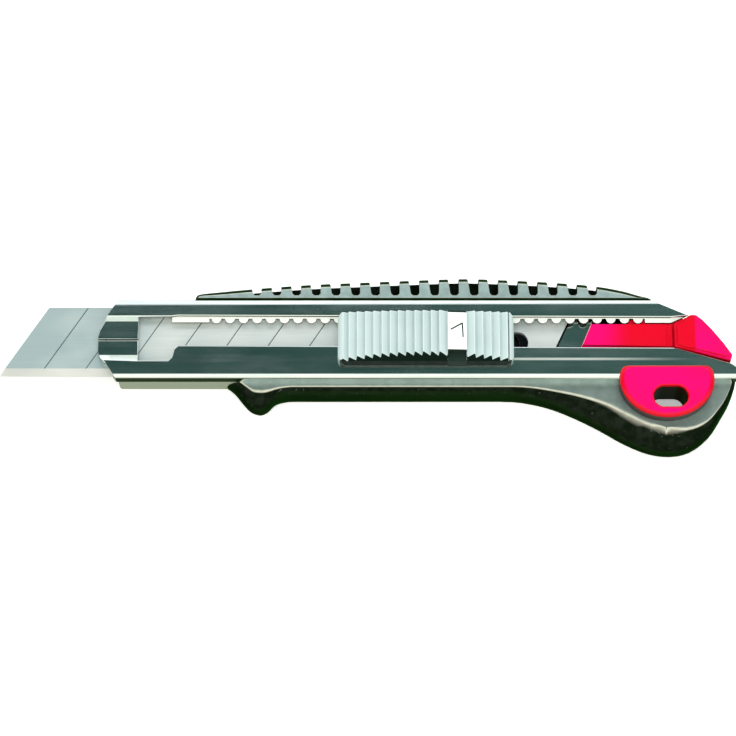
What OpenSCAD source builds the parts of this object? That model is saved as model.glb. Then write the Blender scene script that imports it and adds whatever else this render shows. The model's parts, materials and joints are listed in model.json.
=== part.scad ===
// Snap-off utility knife with a blade magazine, lying on its back with the blade pointing to -X.
// The sizes along Y are measured from the blade's centre line, which lies blade_y above the origin.

/* [Blade] */
// Width of a blade
blade_w = 18; // [17.8:0.1:18]
// Length of a blade along its cutting edge
blade_l = 100; // [98:0.5:100]
// Thickness of a blade
blade_t = 0.5; // [0.4:0.05:0.5]
// Distance between two snap lines
snap_pitch = 10.36; // [9:0.1:11]
// Length of the ground bevel
bevel = 2.1; // [1:0.1:3]
// How far the slanted end runs back
slant = 12; // [8:0.5:14]
// Diameter of the hole that the stud holds
blade_hole_d = 5.6; // [5.5:0.1:6]

/* [Sheath] */
// Width of the steel sheath
sheath_w = 20; // [19.9:0.1:20]
// Thickness of the sheath's steel
steel_t = 0.7; // [0.6:0.05:0.7]
// Distance between two detent waves
wave_pitch = 3.4; // [3.3:0.05:3.4]
// Number of detent waves
wave_count = 32; // [20:1:32]

/* [Grip] */
// Height of the casting's front face above its back
casting_h = 8.4; // [8.4:0.1:8.4]
// Number of notches along the spine
notch_count = 18; // [8:1:18]
// Distance between two notches
notch_pitch = 4.97; // [4.5:0.01:5]
// Width of a notch
notch_w = 2.1; // [1.5:0.1:2.4]
// Radius of the rounding round the back
back_round = 1.8; // [1:0.1:2]
// Radius of the lanyard hole's ends
lanyard_r = 2.65; // [2.4:0.05:2.8]

/* [Slider] */
// Number of teeth in the long grip field
teeth_long = 12; // [6:1:12]
// Number of teeth in the short grip field
teeth_short = 5; // [3:1:5]
// Depth of the teeth
tooth_h = 1.3; // [0.8:0.1:1.5]

/* [Hidden] */

$fn = 48;
blade_y = 5.1;              // from the origin to the blade's centre line
cut = 1;                    // how far a cutter runs past a face
gap = 0.1;                  // play between sliding sheets
sheath_z = casting_h;
sheath_top = 12;
spine_wall_y = sheath_w / 2 + 0.4;
wall_top = sheath_z + steel_t;
blade_z = wall_top + gap;
lip_low = 10.7;             // underside of the lips beside the slot
lip_top = lip_low + steel_t;
nose_low = 10;              // underside of the lips at the nose
tip_x = -92;                // tip of the working blade
spare_x = -52.5;             // tip of the spare blades
tail_step = 2.5;            // half of the tail edge's slant along X
tail_y = 5.3;               // half of the tail edge's slant along Y
hole_back = 10.2;           // from the tail's middle to the hole's centre
rear_x = 92;
slot_x = -49;               // where the slot's lips begin
window_x = -57.4;           // where the nose's lips end
wave_x = -37.9;             // centre of the first wave
wave_y = 5.6;               // valley line of the waves
wave_r = 1.25;
tray_front = -53.6;
tray_back = 51.6;
nose_x = -62.3;
nose_l = 29.7;              // ends just short of the casting
cavity_y = 9.3;
cavity_floor = 1.8;
eyelet_x = 75.1;
eyelet_y = -14.9;
eyelet_half = 1.6;          // from the hole's middle to the centres of its ends
eyelet_top = 13;
slider_front = -7.5;
slider_back = 36.25;
slider_base = sheath_top + 0.15;
slider_h = 18;
tooth_x = -4.75;
tooth_pitch = 2.04;
pad_x = tooth_x + teeth_long * tooth_pitch;
pad_l = 4.75;
stud_x = tip_x + blade_l - hole_back;
detent_x = wave_x + 12.5 * wave_pitch;   // the detent tooth stands in a valley
rivet_spots = [[-58.6, 6.6], [-58.6, -6.6], [62, 6.6], [62, -6.6]];
slider_rivet_spots = [7, 16];
tray_screw_spots = [-44, 42];

// The casting's outline as [x, y] at its widest and [x, y] at its front face, anticlockwise.
under_side = [[-35.4, -9.9, -32.6, -9.8], [-33.4, -11.6, -31.6, -10.5], [-31.2, -14.4, -29.8, -11.7],
    [-29.3, -16.2, -28.4, -12.3], [-27, -16.9, -26.4, -12.4], [-25, -16.1, -24.6, -12.2],
    [-23.2, -14.3, -22.6, -11.8], [-20.6, -13.5, -20, -11.5], [-16, -13.3, -16, -11.4],
    [10, -13.3, 10, -11.4], [33, -13.3, 33, -11.4], [40, -13.9, 40.5, -11.6], [46, -15.4, 47, -12.5],
    [52, -17.9, 53.5, -13.7], [58, -21, 59.5, -15.5], [64, -24.5, 65, -18.3], [70, -27, 70.5, -20.9],
    [75.5, -27.7, 76, -21.9], [80.5, -26.6, 80.5, -21.8], [85, -23.2, 84.5, -20.2],
    [88.2, -18.4, 87.6, -17], [90.6, -14, 89.8, -13.6]];
rear_side = [[92, -9.3, 91.2, -9.3], [91, -6.5, 90.3, -6.5], [88, -2.5, 87.3, -2.7], [84, 2, 83.4, 1.6],
    [79, 5.6, 78.4, 5], [74.6, 8.8, 73.9, 8.2]];
spine_side = [[71.6, 11.9, 70.9, 11.4], [68, 13.1, 67.7, 11.9], [64, 14.3, 63.7, 12.9],
    [57, 15.6, 57, 14.1], [47, 16.5, 47, 15], [36, 17.1, 36, 15.6], [24.5, 17.5, 24.5, 16], [12, 17.1, 12, 15.6],
    [-2, 16.5, -2, 15], [-15, 15.9, -15, 14.4], [-29, 14.8, -29, 13.3], [-38, 13.9, -38, 12.6],
    [-42.2, 13.4, -41.9, 12.4], [-43.3, 12.7, -42.6, 12], [-43.6, 11.6, -42.9, 11.4]];
nose_side = [[-43.5, 10, -43.5, 10], [-35.4, 10, -35.4, 10]];

// Catmull-Rom curve through the points p, n steps to a span
function spline(a, b, c, d, t) =
    (2 * b + (c - a) * t + (2 * a - 5 * b + 4 * c - d) * t * t + (3 * b - a - 3 * c + d) * t * t * t) / 2;
function curve(p, n) = [for (i = [0:len(p) - 2], k = [0:n - 1])
    spline(p[max(i - 1, 0)], p[i], p[i + 1], p[min(i + 2, len(p) - 1)], k / n)];
// Each point also gets the level where it is widest and the radius of the rounding round the back.
function with_form(p, z, r) = [for (q = p) concat(q, z, r)];
grip_points = concat(with_form(under_side, 3, back_round), with_form(rear_side, 5, 1.2),
    with_form(spine_side, 6.6, 0.5));
casting_outline = concat(curve(grip_points, 3), [grip_points[len(grip_points) - 1]],
    with_form(nose_side, 8, 0.1));

// Outward normal of the widest outline at point i
function outward(o, i) = let (n = len(o), a = o[(i + n - 1) % n], b = o[(i + 1) % n],
    t = [b[0] - a[0], b[1] - a[1]]) [t[1], -t[0]] / norm(t);
// Rings of the casting: round its back, where a is the angle from the back face, and up its flank, where
// rise goes from 0 at the widest level to 1 at the front face and blend from the widest outline to the front
function back_ring(o, a) = [for (i = [0:len(o) - 1]) let (n = outward(o, i), inset = o[i][5] * (1 - sin(a)))
    [o[i][0] - n[0] * inset, o[i][1] - n[1] * inset, o[i][5] * (1 - cos(a))]];
function at_level(ring, z) = [for (p = ring) [p[0], p[1], z]];
function flank_ring(o, rise, blend) = [for (p = o)
    [p[2] + (p[0] - p[2]) * blend, p[3] + (p[1] - p[3]) * blend, p[4] + (casting_h - p[4]) * rise]];
flank_arc = 62;             // degrees of arc between the widest level and the front face
casting_rings = concat(
    [at_level(back_ring(casting_outline, 0), -cut)],
    [for (a = [0, 30, 60]) back_ring(casting_outline, a)],
    [for (k = [0:5]) let (a = flank_arc * k / 5) flank_ring(casting_outline, sin(a) / sin(flank_arc),
        (cos(a) - cos(flank_arc)) / (1 - cos(flank_arc)))],
    [at_level(flank_ring(casting_outline, 1, 0), casting_h + cut)]);

module at_blade() {
    translate([0, blade_y, 0]) children();
}

module slab(z0, z1) {
    translate([0, 0, z0]) linear_extrude(z1 - z0) children();
}

module obround(half, r) {
    for (side = [-half, half]) translate([side, 0]) circle(r);
    translate([-half, -r]) square([2 * half, 2 * r]);
}

module rounded_box(x0, x1, y0, y1, r) {
    for (x = [x0 + r, x1 - r], y = [y0 + r, y1 - r]) translate([x, y]) circle(r);
    translate([x0 + r, y0]) square([x1 - x0 - 2 * r, y1 - y0]);
    translate([x0, y0 + r]) square([x1 - x0, y1 - y0 - 2 * r]);
}

module loft(rings) {
    n = len(rings[0]);
    last = len(rings) - 1;
    polyhedron([for (r = rings, p = r) p], concat(
        [[for (i = [0:n - 1]) i]],
        [[for (i = [n - 1:-1:0]) last * n + i]],
        [for (r = [0:last - 1], i = [0:n - 1]) let (j = (i + 1) % n)
            [r * n + i, (r + 1) * n + i, (r + 1) * n + j, r * n + j]]));
}

// One spine notch: its left flank slopes and its floor is blunt
module notch() {
    half = notch_w / 2;
    slab(3.6, casting_h + cut)
        polygon([[-half, 13.2], [-half + 0.5, 12.7], [half - 0.5, 12.7], [half, 13.2], [half, 19], [-half - 0.9, 19]]);
}

// What is cut out of the casting and the nose housing alike
module magazine_space() {
    translate([tray_front - 0.2, -cavity_y, cavity_floor])
        cube([tray_back - tray_front + 0.4, 2 * cavity_y, casting_h]);
    for (p = rivet_spots) translate([p[0], p[1], 4]) cylinder(h = 10, r = 1.22);
    for (x = tray_screw_spots) translate([x, 0, -0.01]) {
        cylinder(h = 3, r = 1.27);
        cylinder(h = 1.25, r1 = 2.6, r2 = 1.27);
    }
}

module grip_casting() at_blade() color("#6f7f78") difference() {
    intersection() {
        loft(casting_rings);
        translate([-100, -50, 0]) cube([200, 100, casting_h]);
    }
    translate([-46, 10.05, 5.4]) cube([130, 1.95, casting_h]);
    translate([nose_x, -9.95, -cut]) cube([nose_l + 0.05, 19.95, casting_h + 2 * cut]);
    for (i = [0:notch_count - 1]) translate([-27.9 + i * notch_pitch, 0, 0]) notch();
    translate([eyelet_x, eyelet_y]) {
        slab(-cut, casting_h + cut) obround(eyelet_half, lanyard_r + 1.25);
        slab(-cut, 1.4) obround(eyelet_half, lanyard_r + 3.4);
    }
    magazine_space();
}

// Steel nose of the magazine, which stands out of the casting under the sheath
module nose_housing() at_blade() color("#9aa79c") difference() {
    intersection() {
        translate([nose_x, 0, 0]) rotate([90, 0, 90]) linear_extrude(nose_l) {
            rounded_box(-9.9, 9.9, 0, 6, back_round);
            translate([-9.9, back_round]) square([19.8, casting_h - back_round]);
        }
        translate([0, 12, 0]) rotate([90, 0, 0]) linear_extrude(24) {
            rounded_box(nose_x, nose_x + nose_l + 8, 0, 8, 3);
            translate([nose_x, 3]) square([nose_l, casting_h - 3]);
        }
    }
    magazine_space();
}

// Flat bands of the sheath's front, outside the pressed-down lips
module upper_band() polygon([[-62.5, spine_wall_y], [-65.25, 6], [slot_x, 6],
    [-47.6, 6.2], [75.7, 5.8], [80.1, 6.2], [73.4, 9.1],
    [70.7, spine_wall_y]]);
module lower_band() polygon([[-62.8, -10], [rear_x, -10], [rear_x, -7.2], [90.5, -6.1], [77, -2.1],
    [-47.4, -1.5], [-48.4, -2.4], [slot_x, -4.6], [slot_x - 0.8, -5.4], [window_x, -5.4], [-65.7, -5.4]]);

// Pressed-down lip above the slot, which ends in the detent waves
module upper_lip() {
    wave_end = wave_x + (wave_count - 0.5) * wave_pitch;
    polygon([[slot_x, 6.9], [slot_x, 4.6], [wave_x - wave_pitch / 2, 4.6], [wave_x - wave_pitch / 2, wave_y],
        [wave_end, wave_y], [wave_end, 4.5], [75.7, 4.5], [79.6, 6.2], [75, 6.9]]);
    for (i = [0:wave_count - 1]) translate([wave_x + i * wave_pitch, wave_y]) circle(wave_r);
}
module nose_outline(back) polygon([[-62.75, 10], [-66, 4.8], [-67.1, 2.6], [-67.4, 1.2], [-67.4, -2.6],
    [-66.9, -4.4], [-62.8, -10], [back, -10], [back, 10]]);

// Slanted step at the nose, from the lip's edge y0 up to the band's edge y1, leaning towards side
module nose_step(y0, y1, side) intersection() {
    slab(nose_low, sheath_top) nose_outline(window_x);
    translate([-70, 0, 0]) rotate([90, 0, 90]) linear_extrude(20) polygon([[y0, nose_low],
        [y0, nose_low + steel_t], [y1, sheath_top], [y1 + side * 0.7, sheath_top],
        [y1 + side * 0.7, sheath_top - steel_t], [y0 + side * 0.7, nose_low]]);
}

// Back wall behind the spare blades, with the slant of their tails
module tail_wall() {
    x = spare_x + blade_l + 0.5;
    polygon([[x - tail_step, -10], [76, -10], [76, 8], [71.5, 10], [x + tail_step, 10], [x + tail_step, tail_y],
        [x - tail_step, -tail_y]]);
}

module blade_sheath() at_blade() color("#c9d3d0") difference() {
    union() {
        slab(sheath_top - steel_t, sheath_top) {
            upper_band();
            lower_band();
        }
        slab(lip_low, lip_top) upper_lip();
        slab(nose_low, nose_low + steel_t) intersection() {
            nose_outline(window_x);
            translate([-70, -4.2]) square([20, 9.8]);
        }
        nose_step(5.1, 6, 1);
        nose_step(-3.7, -5.4, -1);
        slab(sheath_z, wall_top) {
            nose_outline(tray_front + 0.6);
            tail_wall();
        }
        translate([-62.5, spine_wall_y - steel_t, sheath_z]) cube([133.2, steel_t, sheath_top - sheath_z]);
        translate([-62.75, -sheath_w / 2, sheath_z]) cube([rear_x + 62.75, steel_t, sheath_top - sheath_z]);
    }
    translate([-70, 0.1, nose_low - cut]) cube([14, 0.35, 3]);
    for (p = rivet_spots) translate([p[0], p[1], sheath_z - cut]) {
        cylinder(h = 3, r = 1.22);
        translate([0, 0, cut + 0.15]) cylinder(h = 1.5, r = 2.02);
    }
}

module sheath_rivets() at_blade() color("#aab3b0") for (p = rivet_spots) translate([p[0], p[1], 0]) {
    translate([0, 0, 4.1]) cylinder(h = 4.8, r = 1.2);
    translate([0, 0, sheath_z + 0.15]) cylinder(h = steel_t - 0.2, r = 2);
}

// Open liner of the magazine: a floor and two end walls
module magazine_tray() at_blade() color("#3b4043") difference() {
    union() {
        slab(cavity_floor, 2.6) rounded_box(tray_front, tray_back, -9.1, 9.1, 0.8);
        for (x = [tray_front, tray_back - 1]) translate([x, -9.1, cavity_floor]) cube([1, 18.2, 5.4]);
        for (x = tray_screw_spots) translate([x, 0, cavity_floor]) cylinder(h = 2, r = 2.6);
    }
    for (x = tray_screw_spots) translate([x, 0, 0]) cylinder(h = 3.5, r = 1.22);
    for (x = [-20, 18]) slab(0, 4) translate([x, 0]) rounded_box(-9, 9, -5, 5, 1.5);
}

module tray_screws() at_blade() color("#8b9294") for (x = tray_screw_spots) translate([x, 0, 0]) difference() {
    union() {
        translate([0, 0, 0.15]) cylinder(h = 3.2, r = 1.2);
        translate([0, 0, 0.15]) cylinder(h = 1, r1 = 2.35, r2 = 1.25);
    }
    for (turn = [0, 90]) rotate(turn) translate([-1.3, -0.25, -cut]) cube([2.6, 0.5, cut + 0.6]);
}

// Bowed strip that lifts the blades; its ends stand on the tray's floor
module lift_spring() at_blade() color("#9fb0b3") {
    span = 68;
    rise = 3.4;
    bow_r = (span * span / 4 + rise * rise) / (2 * rise);
    translate([-1, 0, 3.05]) intersection() {
        translate([0, 4, rise - bow_r]) rotate([90, 0, 0]) difference() {
            cylinder(h = 8, r = bow_r, $fn = 96);
            translate([0, 0, -cut]) cylinder(h = 10, r = bow_r - 0.4, $fn = 96);
        }
        translate([-span / 2, -5, -0.4]) cube([span, 10, 5]);
    }
}

module blade_lifter() at_blade() color("#93a0a2") difference() {
    slab(6.9, 7.4) rounded_box(-50, 46, -8.8, 8.8, 2);
    for (x = [-34, 30]) slab(6, 8) translate([x, 0]) obround(5, 3);
}

// A blade with its tip at the origin, its snap lines pressed in from the front
module blade() difference() {
    intersection() {
        rotate([90, 0, 90]) linear_extrude(blade_l + 2 * slant) polygon([[blade_w / 2, 0],
            [blade_w / 2, blade_t], [-blade_w / 2 + bevel, blade_t], [-blade_w / 2, blade_t / 2 + 0.03],
            [-blade_w / 2, blade_t / 2 - 0.03], [-blade_w / 2 + bevel, 0]]);
        slab(-cut, cut) polygon([[0, -blade_w / 2], [blade_l - tail_step, -blade_w / 2],
            [blade_l - tail_step, -tail_y], [blade_l + tail_step, tail_y], [blade_l + tail_step, blade_w / 2],
            [slant, blade_w / 2]]);
    }
    translate([blade_l - hole_back, 0, -cut]) cylinder(h = 3, r = blade_hole_d / 2);
    for (i = [0:6]) slab(blade_t - 0.1, blade_t + cut) {
        x = 9.75 + i * snap_pitch;
        polygon([[x, -blade_w / 2], [x + 0.3, -blade_w / 2], [x + 0.3 + slant, blade_w / 2],
            [x + slant, blade_w / 2]]);
    }
}

module working_blade() at_blade() color("#b9cdd0") translate([tip_x, 0, blade_z]) blade();
module spare(i) at_blade() color("#a9bcc0") translate([spare_x, 0, blade_z - i * (blade_t + 0.1)]) blade();
module spare_blade_1() spare(1);
module spare_blade_2() spare(2);
module spare_blade_3() spare(3);

// D-shaped eyelet: a raised face over the casting and the sheath's edge, and a barrel through the casting
module eyelet_face(inset) translate([eyelet_x - 0.8, -10.3]) intersection() {
    scale([1.19, 1]) circle(9.9 - inset);
    polygon([[-15, -12], [15, -12], [15, -2], [9.9 - inset, 3.4 - inset], [-9.9 + inset, 3.4 - inset], [-15, -2]]);
}
module lanyard_eyelet() at_blade() color("#c21f3a") difference() {
    union() {
        slab(sheath_top + 0.02, eyelet_top - 0.5) eyelet_face(0);
        slab(eyelet_top - 0.5, eyelet_top) eyelet_face(0.5);
        slab(casting_h, sheath_top + 0.02) intersection() {
            eyelet_face(0);
            translate([50, -40]) square([60, 29.95]);
        }
        translate([eyelet_x, eyelet_y]) slab(1.5, casting_h) obround(eyelet_half, lanyard_r + 1.2);
    }
    translate([eyelet_x, eyelet_y]) {
        slab(-cut, 20) obround(eyelet_half, lanyard_r);
        slab(eyelet_top - 0.6, 20) obround(eyelet_half, lanyard_r + 0.5);
    }
}

module eyelet_back_ring() at_blade() color("#c21f3a") translate([eyelet_x, eyelet_y]) slab(0.1, 1.4) difference() {
    obround(eyelet_half, lanyard_r + 3.3);
    obround(eyelet_half, lanyard_r);
}

// Height of the slider's crowned top
function crown(x) = slider_h - 1.9 * pow((x - 14.5) / 19.5, 2);
module slider_profile() {
    long_end = tooth_x + teeth_long * tooth_pitch;
    short_x = long_end + pad_l;
    short_end = short_x + teeth_short * tooth_pitch;
    polygon(concat(
        [[slider_front, slider_base], [slider_front, 14], [slider_front + 0.5, 15.1], [slider_front + 1.3, 15.7]],
        [for (i = [0:teeth_long - 1]) let (x = tooth_x + i * tooth_pitch) each
            [[x - 0.25, crown(x) - tooth_h], [x, crown(x)], [x + 0.35, crown(x) - 0.1]]],
        [[long_end - 0.2, crown(long_end) - tooth_h], [long_end, crown(long_end) - 0.6],
         [short_x, crown(short_x) - 0.6], [short_x + 0.2, crown(short_x) - tooth_h]],
        [for (i = [1:teeth_short]) let (x = short_x + i * tooth_pitch) each
            [[x - 0.35, crown(x) - 0.1], [x, crown(x)], [x + 0.25, crown(x) - tooth_h]]],
        [[slider_back - 1.1, 15.5], [slider_back - 0.4, 14.8], [slider_back, 13.8], [slider_back, slider_base]]));
}
module slider_cap() at_blade() color("#b8cccb") difference() {
    intersection() {
        translate([0, 8, 0]) rotate([90, 0, 0]) linear_extrude(16) slider_profile();
        translate([slider_front - cut, 0, 0]) rotate([90, 0, 90]) linear_extrude(60)
            polygon([[-6.9, slider_base], [6.3, slider_base], [6.1, 13.4], [5.7, 19], [-4.4, 19], [-6.5, 15]]);
        slab(slider_base, 20) rounded_box(slider_front, slider_back, -6.9, 6.3, 2.2);
    }
    slab(slider_base - cut, 14.6) rounded_box(-5.5, 34.2, -4.6, 4.6, 0.8);
    translate([pad_x, -8, 15.2]) cube([pad_l, 3.7, 4]);
}

module slider_inlay() at_blade() color("#eef2f0") difference() {
    translate([0, 5.3, 0]) rotate([90, 0, 0]) linear_extrude(9.5) polygon([
        [pad_x + 0.05, crown(pad_x) - 0.55], [pad_x + 0.05, crown(pad_x) - 0.1],
        [pad_x + pad_l - 0.05, crown(pad_x + pad_l) - 0.1], [pad_x + pad_l - 0.05, crown(pad_x + pad_l) - 0.55]]);
    slab(16, 19) translate([pad_x, 0]) polygon([[0.62, 1.05], [0.82, 0.69], [3.48, 2.24], [3.66, -1.1],
        [3.98, -1.1], [3.82, 2.74], [3.5, 2.72]]);
}

// Plate under the lips, with a neck that stands up through the slot
module slider_carriage() at_blade() color("#8f9da0") difference() {
    union() {
        slab(blade_z + blade_t + gap, lip_low - gap) rounded_box(-7, 22, -8.9, 8.9, 1.5);
        slab(lip_low - gap, 14.5) rounded_box(-4.4, 21, -1.2, 4.1, 0.8);
    }
    slab(lip_low, 11.8) translate([-6, 2.5]) square([28, 3]);
    for (x = slider_rivet_spots) translate([x, 0.9, 0]) cylinder(h = 20, r = 0.9);
    translate([stud_x, 0, 0]) cylinder(h = lip_low, r = 1.6);
}

module blade_stud() at_blade() color("#a7b1b3") translate([stud_x, 0, 0]) {
    translate([0, 0, blade_z]) cylinder(h = blade_t + gap, r = blade_hole_d / 2 - 0.1);
    translate([0, 0, blade_z + blade_t]) cylinder(h = lip_low - blade_z - blade_t - 0.05, r = 1.6);
}

// Strip beside the neck, with a tooth that stands between two waves
module detent_spring() at_blade() color("#9fb0b3") slab(lip_low + 0.1, lip_top - 0.1) {
    translate([-3, 2.95]) square([22, 0.4]);
    translate([16.6, 2.5]) square([2.4, 0.6]);
    polygon([[detent_x - 0.9, 3.3], [detent_x + 0.9, 3.3], [detent_x + 0.45, 4.3], [detent_x + 0.2, 5.3],
        [detent_x - 0.2, 5.3], [detent_x - 0.45, 4.3]]);
}

module slider_rivets() at_blade() color("#a7b1b3") for (x = slider_rivet_spots)
    translate([x, 0.9, blade_z + blade_t + 0.15]) cylinder(h = 14.3 - blade_z - blade_t, r = 0.9);

// Plug: a tongue in the sheath, a raised strip in the slot and a faceted head
module plug_head(inset) polygon([[76.4 + inset, -1.9 + inset / 3], [76.4 + inset, 3.9 - inset],
    [80.6, 6.2 - inset], [81.9, 6.2 - inset], [83.5 - inset / 2, 4.9 - inset], [85.8 - inset, 2.4 - inset / 2],
    [88.5 - inset, -1 - inset / 2], [90.7 - inset, -4.2], [90.3 - inset, -5.6 + inset]]);
module end_plug() at_blade() color("#c21f3a") difference() {
    union() {
        slab(blade_z, lip_low - gap)
            polygon([[50.2, -8.8], [77, -8.8], [84, -6.9], [84, 4], [77, 6.5], [72, 8.8], [57.6, 8.8]]);
        slab(lip_low - gap, lip_top - 0.1) polygon([[53.5, -1.2], [76, -1.7], [76, 4.2], [55.8, 4.2]]);
        slab(casting_h + 0.15, 12.6) plug_head(0);
        slab(12.6, 13.5) plug_head(0.8);
    }
    slab(11, 14) translate([74.4, -2.5]) square([0.8, 8]);
    slab(blade_z - cut, blade_z + 0.6) translate([57, -7.2]) square([14, 4.4]);
}

module plug_latch() at_blade() color("#9fb0b3") difference() {
    slab(blade_z + 0.1, blade_z + 0.5) translate([57.3, -6.9]) square([13.4, 3.8]);
    slab(blade_z - cut, blade_z + cut) translate([60, -5.6]) square([8, 1.2]);
}

grip_casting();
nose_housing();
blade_sheath();
sheath_rivets();
magazine_tray();
tray_screws();
lift_spring();
blade_lifter();
spare_blade_1();
spare_blade_2();
spare_blade_3();
lanyard_eyelet();
eyelet_back_ring();
working_blade();
slider_cap();
slider_inlay();
slider_carriage();
blade_stud();
detent_spring();
slider_rivets();
end_plug();
plug_latch();
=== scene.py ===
import json
import math

import bmesh
import bpy
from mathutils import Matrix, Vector


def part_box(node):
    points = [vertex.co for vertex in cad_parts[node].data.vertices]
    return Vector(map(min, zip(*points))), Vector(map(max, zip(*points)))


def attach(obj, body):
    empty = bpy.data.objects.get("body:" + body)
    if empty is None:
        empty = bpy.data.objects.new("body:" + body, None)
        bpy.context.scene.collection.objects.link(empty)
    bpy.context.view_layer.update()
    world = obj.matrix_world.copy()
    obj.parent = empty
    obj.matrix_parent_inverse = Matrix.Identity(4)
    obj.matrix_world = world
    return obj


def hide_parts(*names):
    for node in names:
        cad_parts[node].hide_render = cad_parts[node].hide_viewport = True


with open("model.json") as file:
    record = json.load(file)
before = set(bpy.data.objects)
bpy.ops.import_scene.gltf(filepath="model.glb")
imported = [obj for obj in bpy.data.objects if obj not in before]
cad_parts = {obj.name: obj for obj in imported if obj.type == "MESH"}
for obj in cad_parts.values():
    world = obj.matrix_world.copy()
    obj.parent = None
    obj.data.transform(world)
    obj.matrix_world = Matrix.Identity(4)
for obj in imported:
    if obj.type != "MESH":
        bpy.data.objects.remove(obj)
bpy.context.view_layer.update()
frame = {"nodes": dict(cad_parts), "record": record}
nodes = frame["nodes"]
mm = 0.001
bladeY = sum(corner.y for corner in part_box("working_blade")) / 2     # the blade's centre line
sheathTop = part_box("blade_sheath")[1].z
print("frame loaded:", len(nodes), "nodes")


# camera, floor and lights

view = {"tilt": 16.6, "lens": 150, "aimY": bladeY - 6.27 * mm, "aimZ": 8 * mm, "width": 184 * mm}


def makeCamera():
    camera = bpy.data.cameras.new("camera")
    camera.lens = view["lens"]
    camera.clip_end = 10
    holder = bpy.data.objects.new("camera", camera)
    bpy.context.scene.collection.objects.link(holder)
    tilt = math.radians(view["tilt"])
    distance = view["width"] * view["lens"] / camera.sensor_width
    holder.location = (0, view["aimY"] - distance * math.sin(tilt), view["aimZ"] + distance * math.cos(tilt))
    holder.rotation_euler = (tilt, 0, 0)
    bpy.context.scene.camera = holder


floorLook = {"paint": (0.96, 0.96, 0.96, 1), "specular": 0.1, "roughness": 0.9, "glow": 0.35}


def makeFloor():
    mesh = bpy.data.meshes.new("floor")
    shape = bmesh.new()
    bmesh.ops.create_grid(shape, x_segments=1, y_segments=1, size=3)
    shape.to_mesh(mesh)
    shape.free()
    floor = bpy.data.objects.new("floor", mesh)
    bpy.context.scene.collection.objects.link(floor)
    paint = bpy.data.materials.new("floorPaint")
    paint.use_nodes = True
    shader = paint.node_tree.nodes["Principled BSDF"]
    shader.inputs["Base Color"].default_value = floorLook["paint"]
    shader.inputs["Specular IOR Level"].default_value = floorLook["specular"]
    shader.inputs["Roughness"].default_value = floorLook["roughness"]
    shader.inputs["Emission Color"].default_value = (1, 1, 1, 1)
    shader.inputs["Emission Strength"].default_value = floorLook["glow"]
    mesh.materials.append(paint)
    # the knife stands as if on a light table, with a dark room below its sides
    floor.visible_glossy = False
    floor.visible_diffuse = False


studio = {
    # angle about the knife's length, from straight up towards the spine side, and what hangs there
    "bands": [(-180, (0.030, 0.050, 0.020)), (-150, (0.020, 0.035, 0.014)), (-122, (0.010, 0.014, 0.008)),
              (-108, (0.75, 0.73, 0.60)), (-60, (1.25, 1.22, 1.08)), (-8, (1.30, 1.30, 1.22)),
              (-1, (0.60, 0.68, 0.64)), (5, (0.022, 0.066, 0.054)), (24, (0.022, 0.062, 0.058)),
              (30, (0.75, 0.85, 0.86)), (36, (1.30, 1.33, 1.33)), (100, (1.25, 1.27, 1.27)),
              (125, (0.12, 0.14, 0.13)), (150, (0.03, 0.04, 0.03)), (180, (0.030, 0.050, 0.020))],
    # light that the dark flag gains towards the plug, and where along the knife
    "farEnd": (0.030, 0.050, 0.045), "farFrom": -0.02, "farTo": 0.14,
}


def makeWorld():
    world = bpy.data.worlds.new("studio")
    bpy.context.scene.world = world
    world.use_nodes = True
    tree = world.node_tree
    coords = tree.nodes.new("ShaderNodeTexCoord")
    split = tree.nodes.new("ShaderNodeSeparateXYZ")
    angle = tree.nodes.new("ShaderNodeMath")
    angle.operation = "ARCTAN2"
    place = tree.nodes.new("ShaderNodeMapRange")
    place.inputs["From Min"].default_value = -math.pi
    place.inputs["From Max"].default_value = math.pi
    ramp = tree.nodes.new("ShaderNodeValToRGB")
    while len(ramp.color_ramp.elements) < len(studio["bands"]):
        ramp.color_ramp.elements.new(1)
    for element, (degrees, colour) in zip(ramp.color_ramp.elements, studio["bands"]):
        element.position = degrees / 360 + 0.5
        element.color = (*colour, 1)
    along = tree.nodes.new("ShaderNodeMapRange")
    along.inputs["From Min"].default_value = studio["farFrom"]
    along.inputs["From Max"].default_value = studio["farTo"]
    lift = tree.nodes.new("ShaderNodeMix")
    lift.data_type = "RGBA"
    lift.blend_type = "ADD"
    lift.inputs["B"].default_value = (*studio["farEnd"], 1)
    tree.links.new(coords.outputs["Generated"], split.inputs[0])
    tree.links.new(split.outputs["Y"], angle.inputs[0])
    tree.links.new(split.outputs["Z"], angle.inputs[1])
    tree.links.new(angle.outputs[0], place.inputs["Value"])
    tree.links.new(place.outputs[0], ramp.inputs["Fac"])
    tree.links.new(split.outputs["X"], along.inputs["Value"])
    tree.links.new(along.outputs[0], lift.inputs["Factor"])
    tree.links.new(ramp.outputs["Color"], lift.inputs["A"])
    tree.links.new(lift.outputs["Result"], tree.nodes["Background"].inputs["Color"])


def areaLight(name, place, size, power, colour):
    light = bpy.data.lights.new(name, "AREA")
    light.shape = "RECTANGLE"
    light.size, light.size_y = size
    light.energy = power
    light.color = colour
    holder = bpy.data.objects.new(name, light)
    bpy.context.scene.collection.objects.link(holder)
    holder.location = place
    holder.rotation_euler = (-Vector(place)).to_track_quat("-Z", "Y").to_euler()
    holder.visible_glossy = False


makeCamera()
makeFloor()
makeWorld()
areaLight("overhead", (0, 0.3, 0.8), (1.2, 0.8), 5.2, (1, 1, 1))
areaLight("frontFill", (0, -0.8, 0.5), (1.2, 0.4), 2.2, (1, 0.99, 0.95))
bpy.context.scene.view_settings.view_transform = "Standard"
print("camera and light ready")


# groups of shader nodes that several finishes share

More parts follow.
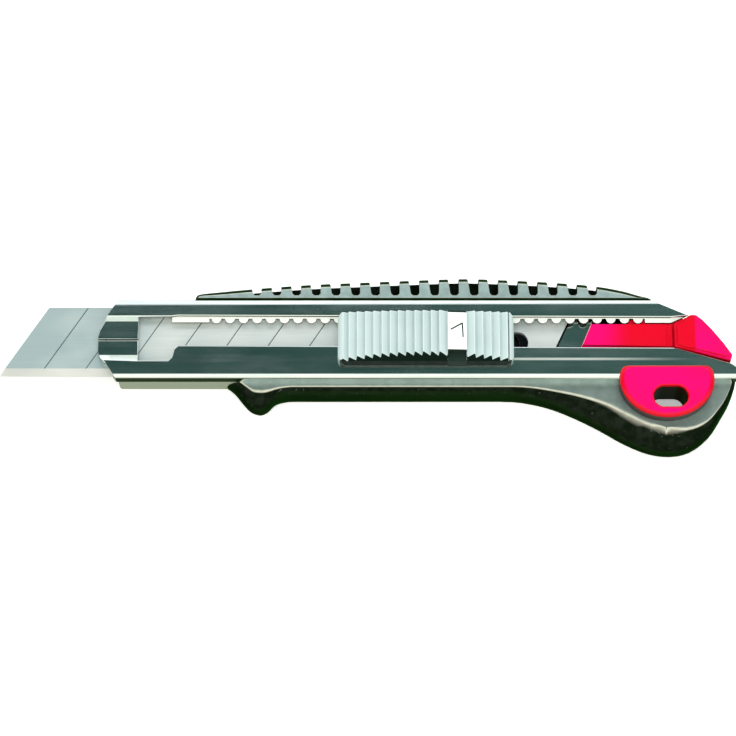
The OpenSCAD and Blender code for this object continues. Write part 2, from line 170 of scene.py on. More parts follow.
class Wiring:
    # short calls for laying out one node tree

    def __init__(self, tree):
        self.tree = tree

    def add(self, kind, **settings):
        node = self.tree.nodes.new(kind)
        for name, value in settings.items():
            setattr(node, name, value)
        return node

    def feed(self, source, socket):
        if isinstance(source, bpy.types.NodeSocket):
            self.tree.links.new(source, socket)
        else:
            socket.default_value = source

    def math(self, operation, *values, clamp=False):
        node = self.add("ShaderNodeMath", operation=operation, use_clamp=clamp)
        for socket, value in zip(node.inputs, values):
            self.feed(value, socket)
        return node.outputs[0]

    def range(self, value, low, high, out=(0, 1), smooth=True):
        node = self.add("ShaderNodeMapRange", interpolation_type="SMOOTHSTEP" if smooth else "LINEAR")
        self.feed(value, node.inputs["Value"])
        for name, number in (("From Min", low), ("From Max", high), ("To Min", out[0]), ("To Max", out[1])):
            node.inputs[name].default_value = number
        return node.outputs[0]

    def mix(self, factor, first, second, blend="MIX"):
        node = self.add("ShaderNodeMix", data_type="RGBA", blend_type=blend)
        self.feed(factor, node.inputs["Factor"])
        for value, socket in ((first, node.inputs["A"]), (second, node.inputs["B"])):
            self.feed((*value, 1) if isinstance(value, tuple) else value, socket)
        return node.outputs["Result"]

    def noise(self, vector, stretch, scale, detail=3):
        mapping = self.add("ShaderNodeMapping")
        mapping.inputs["Scale"].default_value = stretch
        self.feed(vector, mapping.inputs["Vector"])
        texture = self.add("ShaderNodeTexNoise")
        self.feed(mapping.outputs[0], texture.inputs["Vector"])
        texture.inputs["Scale"].default_value = scale
        texture.inputs["Detail"].default_value = detail
        return texture.outputs["Fac"]


def newGroup(name, inputs, outputs):
    tree = bpy.data.node_groups.new(name, "ShaderNodeTree")
    for label, kind in inputs:
        tree.interface.new_socket(label, in_out="INPUT", socket_type=kind)
    for label in outputs:
        tree.interface.new_socket(label, in_out="OUTPUT", socket_type="NodeSocketFloat")
    wiring = Wiring(tree)
    return wiring, wiring.add("NodeGroupInput").outputs, wiring.add("NodeGroupOutput").inputs


def makeBrushedLines():
    # long fine scratches along the knife, with broader polishing streaks
    wiring, given, result = newGroup("brushedLines", [("Position", "NodeSocketVector")], ["Streak", "Height"])
    fine = wiring.noise(given["Position"], (1, 60, 60), 90, 4)
    broad = wiring.noise(given["Position"], (1, 22, 22), 28, 2)
    both = wiring.math("ADD", wiring.math("MULTIPLY", fine, 0.6), wiring.math("MULTIPLY", broad, 0.4))
    wiring.feed(wiring.range(both, 0.35, 0.65), result["Streak"])
    wiring.feed(fine, result["Height"])
    return wiring.tree


def makeCastGrain():
    # fine pebbled skin of a blasted die casting or a moulded part
    wiring, given, result = newGroup("castGrain", [("Position", "NodeSocketVector")], ["Grain", "Height"])
    fine = wiring.noise(given["Position"], (1, 1, 1), 2600, 3)
    coarse = wiring.noise(given["Position"], (1, 1, 1), 480, 2)
    wiring.feed(wiring.range(coarse, 0.35, 0.68), result["Grain"])
    wiring.feed(wiring.math("ADD", fine, wiring.math("MULTIPLY", coarse, 0.6)), result["Height"])
    return wiring.tree


def makeSmudge():
    # soft clouds left by handling, and a few specks
    wiring, given, result = newGroup("smudge", [("Position", "NodeSocketVector")], ["Cloud", "Speck"])
    cloud = wiring.noise(given["Position"], (1, 1.6, 1), 75, 4)
    speck = wiring.noise(given["Position"], (1, 1, 1), 1100, 1)
    wiring.feed(wiring.range(cloud, 0.38, 0.66), result["Cloud"])
    wiring.feed(wiring.range(speck, 0.70, 0.78), result["Speck"])
    return wiring.tree


def makeEdgeWear():
    # where an edge is close, broken up by the grain of its use
    wiring, given, result = newGroup(
        "edgeWear", [("Position", "NodeSocketVector"), ("Radius", "NodeSocketFloat")], ["Edge", "Rub"])
    rounded = wiring.add("ShaderNodeBevel", samples=4)
    wiring.feed(given["Radius"], rounded.inputs["Radius"])
    geometry = wiring.add("ShaderNodeNewGeometry")
    dot = wiring.add("ShaderNodeVectorMath", operation="DOT_PRODUCT")
    wiring.feed(rounded.outputs["Normal"], dot.inputs[0])
    wiring.feed(geometry.outputs["Normal"], dot.inputs[1])
    edge = wiring.range(dot.outputs["Value"], 0.995, 0.90)
    broken = wiring.range(wiring.noise(given["Position"], (1, 1, 1), 420, 3), 0.36, 0.62)
    wiring.feed(edge, result["Edge"])
    wiring.feed(wiring.math("MULTIPLY", edge, broken), result["Rub"])
    return wiring.tree


groups = {"brushedLines": makeBrushedLines(), "castGrain": makeCastGrain(), "smudge": makeSmudge(),
          "edgeWear": makeEdgeWear()}


class Finish(Wiring):
    # a material with its Principled shader and its object coordinates at hand

    def __init__(self, name, metallic, coat=0):
        self.material = bpy.data.materials.new(name)
        self.material.use_nodes = True
        super().__init__(self.material.node_tree)
        self.shader = self.tree.nodes["Principled BSDF"]
        self.shader.inputs["Metallic"].default_value = metallic
        self.shader.inputs["Coat Weight"].default_value = coat
        coords = self.add("ShaderNodeTexCoord")
        self.position = coords.outputs["Object"]
        self.facing = self.xyz(coords.outputs["Normal"])
        self.place = self.xyz(self.position)

    def xyz(self, vector):
        split = self.add("ShaderNodeSeparateXYZ")
        self.feed(vector, split.inputs[0])
        return {axis: split.outputs[axis] for axis in "XYZ"}

    def group(self, name, **values):
        node = self.add("ShaderNodeGroup", node_tree=groups[name])
        self.feed(self.position, node.inputs["Position"])
        for label, value in values.items():
            node.inputs[label].default_value = value
        return node.outputs

    def colour(self, source):
        self.feed(source, self.shader.inputs["Base Color"])

    def roughness(self, source):
        self.feed(source, self.shader.inputs["Roughness"])

    def bump(self, height, strength, depth):
        node = self.add("ShaderNodeBump")
        node.inputs["Strength"].default_value = strength
        node.inputs["Distance"].default_value = depth
        self.feed(height, node.inputs["Height"])
        self.feed(node.outputs[0], self.shader.inputs["Normal"])


# finishes

# shade, side and under are painted shade and painted reflection on the flanks by facing; edge is a painted highlight
castMetal = {"shade": (0.004, 0.006, 0.004), "side": (0.028, 0.090, 0.020), "under": (0.06, 0.10, 0.025),
             "edge": (0.74, 0.73, 0.62), "face": (0.36, 0.44, 0.42), "lands": (0.58, 0.72, 0.71),
             "rub": (0.70, 0.70, 0.62), "grain": (0.05, 0.065, 0.055), "speck": (0.5, 0.55, 0.5),
             "tint": (0.35, 0.85, 0.25, 1), "sideRough": 0.30, "faceRough": 0.42, "wear": 0.3 * mm,
             "pocketZ": 3.75 * mm}


def castGunmetal():
    # dark blasted flanks with painted shade and a painted green reflection set by facing, a painted cream highlight
    # along the front edge, rubbed wear on the edges, a paler ground front face, and painted shade on the notch
    # floors
    look = castMetal
    finish = Finish("castGunmetal", 0.9)
    finish.shader.inputs["Specular Tint"].default_value = look["tint"]
    grain = finish.group("castGrain")
    smudge = finish.group("smudge")
    wear = finish.group("edgeWear", Radius=look["wear"])
    steep = finish.facing["Z"]
    # painted shade and reflection by facing: near-black just past the front edge, dark green on upright flanks, a
    # lighter painted green reflection on faces turned down
    tone = finish.mix(finish.range(steep, 0.62, 0.10), look["shade"], look["side"])
    tone = finish.mix(finish.range(steep, 0.12, -0.25), tone, look["under"])
    # painted cream highlight where the front edge rolls over
    tone = finish.mix(finish.range(steep, 0.91, 0.97), tone, look["edge"])
    above = finish.range(finish.place["Z"], look["pocketZ"], 2 * look["pocketZ"])
    ground = finish.math("MULTIPLY", finish.range(steep, 0.978, 0.995), above)
    onSpine = finish.range(finish.place["Y"], bladeY + 9 * mm, bladeY + 12 * mm)
    tone = finish.mix(ground, tone, finish.mix(onSpine, look["face"], look["lands"]))
    # painted shade on up-facing notch floors low in the casting
    notchFloorShade = finish.math("MULTIPLY", finish.range(finish.place["Z"], 2 * look["pocketZ"], look["pocketZ"]),
                         finish.math("GREATER_THAN", steep, 0.8))
    tone = finish.mix(notchFloorShade, tone, look["shade"])
    tone = finish.mix(finish.math("MULTIPLY", grain["Grain"], 0.16), tone, look["grain"])
    tone = finish.mix(finish.math("MULTIPLY", smudge["Speck"], 0.12), tone, look["speck"])
    finish.colour(finish.mix(finish.math("MULTIPLY", finish.math("MULTIPLY", wear["Rub"], above), 0.6), tone,
                             look["rub"]))
    rough = finish.math("MULTIPLY_ADD", ground, look["faceRough"] - look["sideRough"], look["sideRough"])
    finish.roughness(finish.math("MULTIPLY_ADD", smudge["Cloud"], 0.06, rough))
    finish.bump(grain["Height"], 0.2, 0.03 * mm)
    return finish.material


# the dark tone is for the slot's shear-cut walls, deepened with painted shade; the light tone is a painted
# reflection on the lips and on a line below the slot
steelLook = {"wear": 0.25 * mm, "rub": 0.25, "worn": (0.92, 0.93, 0.90), "lineDepth": 0.004 * mm,
             "shearedAndShaded": (0.006, 0.010, 0.008), "pale": (0.86, 0.88, 0.80), "noseEnd": -57 * mm,
             "slotHalf": 9 * mm, "lipHalf": 6.6 * mm, "lipDrop": 0.3 * mm, "lipFoot": 2 * mm, "lipPale": 0.85,
             "reflectionLineY": 5.1 * mm, "reflectionLineSheen": 0.45}


def slotEdges(finish, tone):
    # inside the slot the shear-cut walls are dark, partly their own dull steel and partly painted shade; the lips
    # get a light painted reflection, and a faint painted reflection line runs below the slot
    look = steelLook
    place = finish.place

    def both(*masks):
        result = masks[0]
        for mask in masks[1:]:
            result = finish.math("MULTIPLY", result, mask)
        return result

    level = finish.math("ABSOLUTE", finish.facing["Z"])
    beyondNose = finish.math("GREATER_THAN", place["X"], look["noseEnd"])
    # beyond the nose, painted shade also covers the steeper part of the rounded lip edges
    lower = both(finish.range(level, 0.66, 0.50), beyondNose)
    shearedAndShaded = finish.math("MAXIMUM", finish.range(level, 0.34, 0.16), lower)
    fromCentre = finish.math("SUBTRACT", place["Y"], bladeY)
    offCentre = finish.math("ABSOLUTE", fromCentre)
    # the lips standing below the top get a light, non-metallic painted reflection
    lips = both(finish.math("LESS_THAN", place["Z"], sheathTop - look["lipDrop"]),
                finish.math("LESS_THAN", offCentre, look["lipHalf"]),
                finish.math("GREATER_THAN", place["Z"], sheathTop - look["lipFoot"]), beyondNose,
                finish.math("GREATER_THAN", finish.facing["Z"], 0.8))
    # a faint painted reflection line along the sheath below the slot, fading in from 18 mm and out towards 84 mm
    # along the knife
    offReflectionLine = finish.math("ABSOLUTE", finish.math("ADD", fromCentre, look["reflectionLineY"]))
    reflectionLine = both(finish.range(offReflectionLine, 0.5 * mm, 0.1 * mm), finish.range(place["X"], 18 * mm, 34 * mm),
                  finish.range(place["X"], 84 * mm, 50 * mm, (0, look["reflectionLineSheen"])))
    pale = finish.math("MAXIMUM", finish.math("MULTIPLY", lips, look["lipPale"]), reflectionLine)
    finish.feed(finish.math("SUBTRACT", 1, pale), finish.shader.inputs["Metallic"])
    tone = finish.mix(pale, tone, look["pale"])
    # the shear-cut walls and steep edges in the slot take the dark tone, partly painted shade
    return finish.mix(both(shearedAndShaded, finish.math("LESS_THAN", offCentre, look["slotHalf"])), tone, look["shearedAndShaded"])


def brushedSteel(name, base, shade, rough, spread, metallic=1.0, slotShadeAndSheen=False):
    look = steelLook
    finish = Finish(name, metallic)
    lines = finish.group("brushedLines")
    smudge = finish.group("smudge")
    edge = finish.group("edgeWear", Radius=look["wear"])
    tone = finish.mix(finish.math("MULTIPLY", lines["Streak"], 0.45), base, shade)
    tone = finish.mix(finish.math("MULTIPLY", smudge["Cloud"], 0.25), tone, shade)
    tone = finish.mix(finish.math("MULTIPLY", edge["Rub"], look["rub"]), tone, look["worn"])
    # on the sheath, slotEdges adds the slot's dark walls with painted shade and the painted reflections
    finish.colour(slotEdges(finish, tone) if slotShadeAndSheen else tone)
    value = finish.math("MULTIPLY_ADD", lines["Streak"], spread, rough)
    finish.roughness(finish.math("MULTIPLY_ADD", smudge["Cloud"], spread * 0.6, value))
    finish.bump(lines["Height"], 0.3, look["lineDepth"])
    return finish.material


bladeSteelLook = {"cool": (0.52, 0.64, 0.65), "warm": (0.88, 0.93, 0.92), "ground": (0.97, 0.95, 0.90),
                  "cloud": (0.80, 0.70, 0.60), "streak": (0.25, 0.32, 0.33), "line": (0.13, 0.17, 0.17),
                  "lineDepth": 0.03 * mm, "bevel": 2.1 * mm, "bevelBlend": 0.05 * mm}


def bladeSteel(node, warmFrom, warmTo):
    # satin blade: pressed snap lines stay dark, the ground bevel is bright
    look = bladeSteelLook
    low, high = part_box(node)
    bevelY = low.y + look["bevel"]
    finish = Finish(node + "Steel", 0.72)
    lines = finish.group("brushedLines")
    smudge = finish.group("smudge")
    tone = finish.mix(finish.range(finish.place["X"], warmFrom, warmTo), look["cool"], look["warm"])
    tone = finish.mix(finish.math("MULTIPLY", smudge["Cloud"], 0.16), tone, look["cloud"])
    tone = finish.mix(finish.math("MULTIPLY", lines["Streak"], 0.10), tone, look["streak"])
    inLine = finish.math("LESS_THAN", finish.place["Z"], high.z - look["lineDepth"])
    onFace = finish.math("GREATER_THAN", finish.place["Y"], bevelY)
    isTop = finish.math("GREATER_THAN", finish.facing["Z"], 0.5)
    pressed = finish.math("MULTIPLY", finish.math("MULTIPLY", inLine, onFace), isTop)
    tone = finish.mix(pressed, tone, look["line"])
    bevel = finish.range(finish.place["Y"], bevelY + look["bevelBlend"], bevelY - look["bevelBlend"])
    finish.colour(finish.mix(bevel, tone, look["ground"]))
    value = finish.math("MULTIPLY_ADD", smudge["Cloud"], 0.10, 0.40)
    finish.roughness(finish.math("SUBTRACT", value, finish.math("MULTIPLY", bevel, 0.12)))
    finish.bump(lines["Height"], 0.2, 0.004 * mm)
    return finish.material


# the light edge tone is a painted highlight on the high crests, the wall tone is painted shade on the lower wall,
# and the recess tone is painted shade under the pad
sliderLook = {"body": (0.50, 0.60, 0.60), "cloud": (0.34, 0.46, 0.46), "edge": (0.93, 0.97, 0.95),
              "wall": (0.003, 0.010, 0.007), "padRecessShade": (0.015, 0.03, 0.024), "specular": 0.04, "wear": 0.3 * mm,
              "slack": 0.02 * mm}


def sliderSatin():
    # satin ribs with a painted highlight along the high crests, painted shade on the lower wall and painted shade in
    # the recess for the pad
    look = sliderLook
    finish = Finish("sliderSatin", 0)
    finish.shader.inputs["Specular IOR Level"].default_value = look["specular"]
    grain = finish.group("castGrain")
    smudge = finish.group("smudge")
    edge = finish.group("edgeWear", Radius=look["wear"])
    padLow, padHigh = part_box("slider_inlay")
    lowerWallShade = finish.range(finish.facing["Y"], -0.42, -0.72)
    high = finish.range(finish.place["Z"], sheathTop + 1.6 * mm, sheathTop + 3.0 * mm)
    tone = finish.mix(finish.math("MULTIPLY", smudge["Cloud"], 0.18), look["body"], look["cloud"])
    # painted highlight along the crest edges high on the slider
    tone = finish.mix(finish.math("MULTIPLY", edge["Edge"], finish.math("MULTIPLY", high, 0.55)), tone, look["edge"])
    # painted shade on the lower wall, which faces the cutting-edge side
    tone = finish.mix(lowerWallShade, tone, look["wall"])
    # painted shade over the slider along the pad's length, showing in the recess below the pad and through its cut
    # mark
    padRecessShade = finish.math("MULTIPLY", finish.math("GREATER_THAN", finish.place["X"], padLow.x - look["slack"]),
                         finish.math("LESS_THAN", finish.place["X"], padHigh.x + look["slack"]))
    finish.colour(finish.mix(padRecessShade, tone, look["padRecessShade"]))
    finish.roughness(finish.math("MULTIPLY_ADD", grain["Grain"], 0.10, 0.38))
    finish.bump(grain["Height"], 0.12, 0.02 * mm)
    return finish.material


def inlayWhite():
    # a smooth white pad, a little yellowed by handling
    finish = Finish("inlayWhite", 0)
    smudge = finish.group("smudge")
    grain = finish.group("castGrain")
    finish.colour(finish.mix(finish.math("MULTIPLY", smudge["Cloud"], 0.35), (0.90, 0.93, 0.92), (0.86, 0.82, 0.83)))
    finish.roughness(finish.math("MULTIPLY_ADD", grain["Grain"], 0.1, 0.35))
    finish.bump(grain["Height"], 0.1, 0.01 * mm)
    return finish.material


# the pink tone is a painted reflection, the wine and deep tones are painted shade lower down, and the cream tone is
# a painted highlight on front-facing faces
redLook = {"pink": (0.74, 0.0008, 0.135), "red": (0.62, 0.0006, 0.016), "wine": (0.22, 0.0008, 0.006),
           "deep": (0.020, 0.0004, 0.0008), "frontHighlight": (0.80, 0.72, 0.52), "frontEnd": 60 * mm,
           "coat": 0.25, "coatRough": 0.04, "specular": 0.08}


def redPlastic(name, pinkness, dark, darkFrom, darkTo):
    # pinkness(finish) gives the mask of the faces with a painted pink reflection; the rest is plain red, with
    # painted shade lower down and a painted cream highlight on front-facing faces
    finish = Finish(name, 0, coat=redLook["coat"])
    finish.shader.inputs["Coat Roughness"].default_value = redLook["coatRough"]
    finish.shader.inputs["Specular IOR Level"].default_value = redLook["specular"]
    grain = finish.group("castGrain")
    smudge = finish.group("smudge")
    tone = finish.mix(pinkness(finish), redLook["red"], redLook["pink"])
    tone = finish.mix(finish.math("MULTIPLY", smudge["Cloud"], 0.22), tone, redLook["red"])
    # painted shade lower down: inside the eyelet's hole and on the plug below the sheath
    low = finish.range(finish.place["Z"], darkFrom, darkTo)
    tone = finish.mix(low, tone, redLook[dark])
    # painted cream highlight on faces turned to the front of the knife
    front = finish.math("MULTIPLY", finish.range(finish.facing["X"], -0.20, -0.50),
                        finish.math("LESS_THAN", finish.place["X"], redLook["frontEnd"]))
    finish.colour(finish.mix(front, tone, redLook["frontHighlight"]))
    finish.roughness(finish.math("MULTIPLY_ADD", smudge["Cloud"], 0.08, 0.30))
    finish.bump(grain["Height"], 0.18, 0.02 * mm)
    return finish.material


# painted pink reflection on the eyelet's flat top
def eyeletPink(finish):
    return finish.range(finish.facing["Z"], 0.95, 0.999)


# painted pink reflection on flat faces near the tongue's tip and on the rear part of the head
def plugPink(finish):
    nearTip = finish.range(finish.place["X"], 66 * mm, 57 * mm)
    onHead = finish.range(finish.place["X"], 81.2 * mm, 81.9 * mm)
    flat = finish.range(finish.facing["Z"], 0.55, 0.80)
    return finish.math("MULTIPLY", finish.math("MAXIMUM", nearTip, onHead), flat)


def moulded(name, base, shade, rough):
    finish = Finish(name, 0)
    grain = finish.group("castGrain")
    finish.colour(finish.mix(grain["Grain"], base, shade))
    finish.roughness(finish.math("MULTIPLY_ADD", grain["Grain"], 0.12, rough))
    finish.bump(grain["Height"], 0.2, 0.03 * mm)
    return finish.material


finishes = {
    "grip_casting": castGunmetal(),
    "nose_housing": brushedSteel("housingSteel", (0.50, 0.58, 0.47), (0.40, 0.47, 0.37), 0.38, 0.12, 0.25),
    "blade_sheath": brushedSteel("polishedSteel", (0.84, 0.90, 0.88), (0.60, 0.70, 0.67), 0.11, 0.07, slotShadeAndSheen=True),
    "sheath_rivets": brushedSteel("rivetSteel", (0.60, 0.63, 0.62), (0.45, 0.48, 0.48), 0.30, 0.15),
    "magazine_tray": moulded("trayPlastic", (0.025, 0.03, 0.03), (0.04, 0.045, 0.045), 0.45),
    "lift_spring": brushedSteel("springSteel", (0.45, 0.50, 0.50), (0.30, 0.35, 0.36), 0.25, 0.15),
    # the lifter is near-black as painted shade where it shows through the blade holes
    "blade_lifter": brushedSteel("lifterShadeSteel", (0.020, 0.024, 0.030), (0.010, 0.012, 0.018), 0.45, 0.15),
    "spare_blade_1": bladeSteel("spare_blade_1", -0.060, -0.050),
    "spare_blade_2": bladeSteel("spare_blade_2", -0.060, -0.050),
    "spare_blade_3": bladeSteel("spare_blade_3", -0.060, -0.050),
    "working_blade": bladeSteel("working_blade", -0.064, -0.046),
    "lanyard_eyelet": redPlastic("eyeletRed", eyeletPink, "deep", 12.5 * mm, 11.6 * mm),
    "end_plug": redPlastic("plugRed", plugPink, "wine", 9.0 * mm, 7.6 * mm),
    "slider_cap": sliderSatin(),
    "slider_inlay": inlayWhite(),
}
sameAs = {"tray_screws": "sheath_rivets", "blade_stud": "sheath_rivets", "slider_rivets": "sheath_rivets",
          "slider_carriage": "lift_spring", "detent_spring": "lift_spring", "plug_latch": "lift_spring",
          "eyelet_back_ring": "lanyard_eyelet"}
for name, twin in sameAs.items():
    finishes[name] = finishes[twin]
for name, node in nodes.items():
    node.data.materials.clear()
    node.data.materials.append(finishes[name])
print("finishes ready:", len(set(finishes.values())))


# pieces with worked edges, each in place of the plain solid

eyelet = {"deep": 9.9 * mm, "corner": 1.6 * mm, "wall": 0.06, "steps": 7, "acrossX": 0.85, "acrossY": 0.87,
          "anchor": 5.2 * mm, "clearOfSheath": 0.05 * mm,
          "holeX": 0.8 * mm, "holeY": -4.6 * mm, "holeHalf": 1.6 * mm, "holeRadius": 2.65 * mm, "lip": 0.55 * mm,
          "barrel": 1.2 * mm, "barrelFoot": 1.5 * mm, "seam": 0.02 * mm, "outlineSteps": 96, "cornerSteps": 6,
          "lipSteps": 4, "holeSegments": 48}
eyeletLow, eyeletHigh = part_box("lanyard_eyelet")
eyeletCentre = Vector(((eyeletLow.x + eyeletHigh.x) / 2, eyeletLow.y + eyelet["deep"], 0))
holeCentre = eyeletCentre + Vector((eyelet["holeX"], eyelet["holeY"], 0))

bodyOf = {name: body for body, members in frame["record"]["behaviour"]["bodies"].items() for name in members}


def cleanCopy(name):
    # the solid's own shape with its doubles merged and its flat faces whole again
    shape = bmesh.new()
    shape.from_mesh(nodes[name].data)
    bmesh.ops.remove_doubles(shape, verts=shape.verts, dist=0.002 * mm)
    bmesh.ops.dissolve_limit(shape, angle_limit=math.radians(0.6), verts=shape.verts, edges=shape.edges,
                             delimit={"NORMAL"})
    return shape


def turn(edge):
    return math.degrees(edge.calc_face_angle(0))


def roundEdges(shape, wanted, offset, segments, clamp=True):
    edges = [edge for edge in shape.edges if wanted(edge)]
    if edges:
        bmesh.ops.bevel(shape, geom=edges, offset=offset, offset_type="OFFSET", affect="EDGES", segments=segments,
                        profile=0.5, material=-1, clamp_overlap=clamp)


def putInPlace(shape, name, look, smooth=32):
    for edge in shape.edges:
        edge.smooth = turn(edge) < smooth
    for face in shape.faces:
        face.smooth = True
    mesh = bpy.data.meshes.new(name + "_finished")
    shape.to_mesh(mesh)
    shape.free()
    piece = bpy.data.objects.new(name + "_finished", mesh)
    bpy.context.scene.collection.objects.link(piece)
    mesh.materials.append(look)
    weighted = piece.modifiers.new("flatFaces", "WEIGHTED_NORMAL")
    weighted.keep_sharp = True
    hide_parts(name)
    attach(piece, bodyOf[name])
    return piece


def middle(edge):
    return (edge.verts[0].co + edge.verts[1].co) / 2


close = 0.01 * mm


def onBend(edge, y):
    # both ends on one outer bend of the sheath
    return all(abs(v.co.y - y) < close and abs(v.co.z - sheathTop) < close for v in edge.verts)


bends = {"spine": 1.7 * mm, "finger": 1.3 * mm, "step": 0.30 * mm, "lip": 0.18 * mm, "slotHalf": 7 * mm,
         "lipHalf": 6.5 * mm, "lipFrom": 1.4 * mm, "lipTo": 0.5 * mm}
sheathLow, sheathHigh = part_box("blade_sheath")

sheath = cleanCopy("blade_sheath")
roundEdges(sheath, lambda e: onBend(e, sheathHigh.y), bends["spine"], 8, False)
roundEdges(sheath, lambda e: onBend(e, sheathLow.y), bends["finger"], 8, False)
roundEdges(sheath, lambda e: turn(e) > 40 and abs(middle(e).z - sheathTop) < close
           and abs(middle(e).y - bladeY) < bends["slotHalf"], bends["step"], 3, False)
roundEdges(sheath, lambda e: turn(e) > 60 and abs(middle(e).y - bladeY) < bends["lipHalf"]
           and all(bends["lipTo"] < sheathTop - v.co.z < bends["lipFrom"] for v in e.verts), bends["lip"], 2, False)
putInPlace(sheath, "blade_sheath", finishes["blade_sheath"])

# the front face's outer edge, clear of the eyelet's seat, and the notches of the spine
castEdges = {"front": 0.6 * mm, "fingerSide": 10.2 * mm, "pommelX": 75 * mm, "seat": 7 * mm,
             "notch": 0.16 * mm, "notchFoot": 3.4 * mm, "spineSide": 10.1 * mm, "tiny": 0.03 * mm}

casting = cleanCopy("grip_casting")
bmesh.ops.dissolve_degenerate(casting, dist=castEdges["tiny"], edges=casting.edges)
castTop = max(v.co.z for v in casting.verts)
roundEdges(casting, lambda e: turn(e) > 12 and all(abs(v.co.z - castTop) < close for v in e.verts)
           and (middle(e).y < bladeY - castEdges["fingerSide"] or middle(e).x > castEdges["pommelX"])
           and (middle(e) - holeCentre).xy.length > castEdges["seat"], castEdges["front"], 5, False)
roundEdges(casting, lambda e: turn(e) > 55 and middle(e).z > castEdges["notchFoot"]
           and middle(e).y > bladeY + castEdges["spineSide"], castEdges["notch"], 2)
putInPlace(casting, "grip_casting", finishes["grip_casting"], 38)

softEdges = {"nose_housing": (0.2 * mm, 3), "slider_cap": (0.10 * mm, 2), "slider_inlay": (0.06 * mm, 2),
             "end_plug": (0.32 * mm, 4), "eyelet_back_ring": (0.4 * mm, 4)}
for name, (offset, segments) in softEdges.items():
    shape = cleanCopy(name)
    roundEdges(shape, lambda e: turn(e) > 30, offset, segments)
    putInPlace(shape, name, finishes[name])
print("worked edges done")


# the lanyard eyelet, with its wide rounded rim

def discFace(squareY, level, corner):
    # the D outline: part of an ellipse, cut straight at squareY with rounded corners
    halfX = (eyeletHigh.x - eyeletLow.x) / 2

    def onEllipse(angle):
        return eyeletCentre + Vector((halfX * math.cos(angle), eyelet["deep"] * math.sin(angle), level))

    start = math.asin((squareY - corner - eyeletCentre.y) / eyelet["deep"])
    sweep = math.pi + 2 * start
    count = eyelet["outlineSteps"]
    points = [onEllipse(math.pi - start + sweep * step / count) for step in range(count + 1)]
    if corner:
        tip = onEllipse(math.asin((squareY - eyeletCentre.y) / eyelet["deep"]))
        first, last = points[-1], tip - Vector((corner, 0, 0))
        shares = [step / eyelet["cornerSteps"] for step in range(1, eyelet["cornerSteps"] + 1)]
        curve = [first.lerp(tip, share).lerp(tip.lerp(last, share), share) for share in shares]
        points += curve
        points += [Vector((2 * eyeletCentre.x - v.x, v.y, v.z)) for v in reversed(curve)]
    shape = bmesh.new()
    shape.faces.new([shape.verts.new(point) for point in points])
    shape.normal_update()
    return shape


def endFace(shape, side):
    # the flat face at the top (side 1) or bottom (side -1)
    return max((face for face in shape.faces if abs(face.normal.z) > 0.99),
               key=lambda f: (round(side * f.calc_center_median().z / mm, 2), f.calc_area()))


def thicken(shape, height):
    made = bmesh.ops.extrude_face_region(shape, geom=shape.faces[:])
    raised = [item for item in made["geom"] if isinstance(item, bmesh.types.BMVert)]
    bmesh.ops.translate(shape, vec=(0, 0, height), verts=raised)
    bmesh.ops.recalc_face_normals(shape, faces=shape.faces)


def oblongRing(shape, radius, level):
    made = bmesh.ops.create_circle(shape, cap_ends=False, segments=eyelet["holeSegments"],
                                  radius=radius)["verts"]
    for v in made:
        v.co.x += math.copysign(eyelet["holeHalf"], v.co.x)
        v.co += holeCentre + Vector((0, 0, level))
    return list({edge for v in made for edge in v.link_edges})


def drill(shape, lip):
    # the oblong hole right through, with its upper edge rounded by lip
    top, bottom = endFace(shape, 1), endFace(shape, -1)
    topZ, bottomZ = top.calc_center_median().z, bottom.calc_center_median().z
    ring, bottomRim = list(top.edges), list(bottom.edges)
    bmesh.ops.delete(shape, geom=[top, bottom], context="FACES_ONLY")
    steps = eyelet["lipSteps"]
    for step in range(steps + 1 if lip else 1):
        angle = math.radians(90 * step / steps)
        following = oblongRing(shape, eyelet["holeRadius"] + lip * (1 - math.sin(angle)),
                               topZ - lip * (1 - math.cos(angle)))
        if step:
            bmesh.ops.bridge_loops(shape, edges=ring + following)
        else:
            bmesh.ops.triangle_fill(shape, use_beauty=True, use_dissolve=False, edges=ring + following)
        ring = following
    foot = oblongRing(shape, eyelet["holeRadius"], bottomZ)
    bmesh.ops.bridge_loops(shape, edges=ring + foot)
    bmesh.ops.triangle_fill(shape, use_beauty=True, use_dissolve=False, edges=foot + bottomRim)
    bmesh.ops.recalc_face_normals(shape, faces=shape.faces)


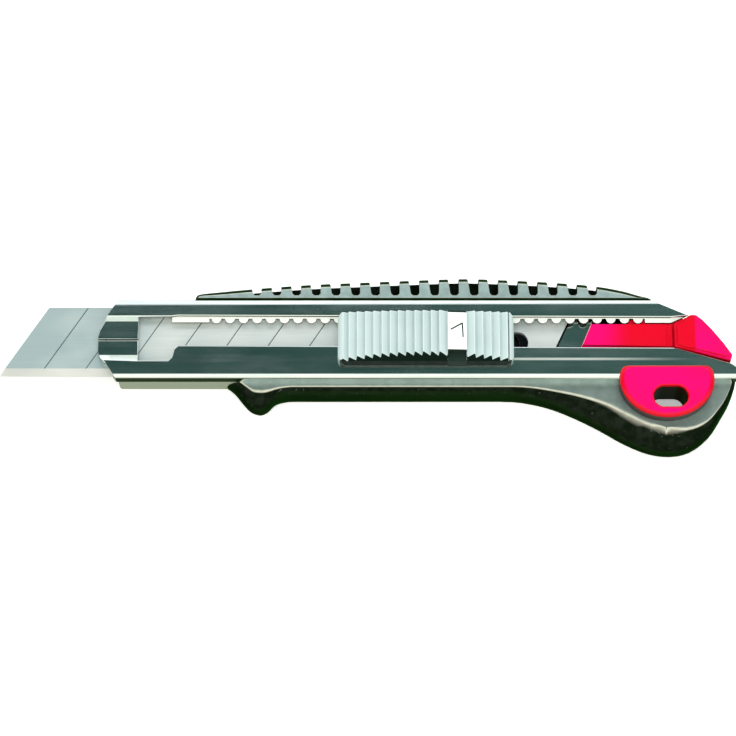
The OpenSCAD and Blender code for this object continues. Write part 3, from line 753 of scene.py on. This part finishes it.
def makeEyeletCap():
    # the wide part that lies on the sheath
    foot = sheathTop + eyelet["seam"]
    rise = eyeletHigh.z - foot
    shape = discFace(eyeletHigh.y, foot, eyelet["corner"])
    thicken(shape, rise * eyelet["wall"])
    # the rim rises in a quarter round, wider at the sides
    top = endFace(shape, 1)
    anchor = Vector((eyeletCentre.x, eyeletHigh.y - eyelet["anchor"], 0))
    was = (1, 1, eyelet["wall"])
    for step in range(1, eyelet["steps"] + 1):
        angle = math.radians(90 * step / eyelet["steps"])
        narrow = 1 - (1 - eyelet["acrossX"]) * (1 - math.cos(angle))
        short = 1 - (1 - eyelet["acrossY"]) * (1 - math.cos(angle))
        level = eyelet["wall"] + (1 - eyelet["wall"]) * math.sin(angle)
        made = bmesh.ops.extrude_face_region(shape, geom=[top])
        top = next(item for item in made["geom"] if isinstance(item, bmesh.types.BMFace))
        for v in top.verts:
            v.co.x = anchor.x + (v.co.x - anchor.x) * narrow / was[0]
            v.co.y = anchor.y + (v.co.y - anchor.y) * short / was[1]
            v.co.z += rise * (level - was[2])
        was = (narrow, short, level)
    # the faces that the steps leave inside
    inner = [f for f in shape.faces if f is not top and abs(f.normal.z) > 0.999
             and len(f.verts) > eyelet["outlineSteps"] and f.calc_center_median().z > foot + close]
    bmesh.ops.delete(shape, geom=inner, context="FACES_ONLY")
    shape.normal_update()
    drill(shape, eyelet["lip"])
    return shape


def makeEyeletWall():
    # the part between the casting and the cap, beside the sheath
    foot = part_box("grip_casting")[1].z
    shape = discFace(bladeY - 10 * mm - eyelet["clearOfSheath"], foot, 0)
    thicken(shape, sheathTop + eyelet["seam"] - foot)
    drill(shape, 0)
    return shape


def makeEyeletBarrel():
    # the sleeve that goes down through the casting
    shape = bmesh.new()
    rim = oblongRing(shape, eyelet["holeRadius"] + eyelet["barrel"], eyelet["barrelFoot"])
    bmesh.ops.contextual_create(shape, geom=rim)
    thicken(shape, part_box("grip_casting")[1].z - eyelet["barrelFoot"])
    drill(shape, 0)
    return shape


whole = makeEyeletCap()
for part in (makeEyeletWall(), makeEyeletBarrel()):
    lent = bpy.data.meshes.new("lent")
    part.to_mesh(lent)
    part.free()
    whole.from_mesh(lent)
    bpy.data.meshes.remove(lent)
putInPlace(whole, "lanyard_eyelet", finishes["lanyard_eyelet"], 40)
print("eyelet done")
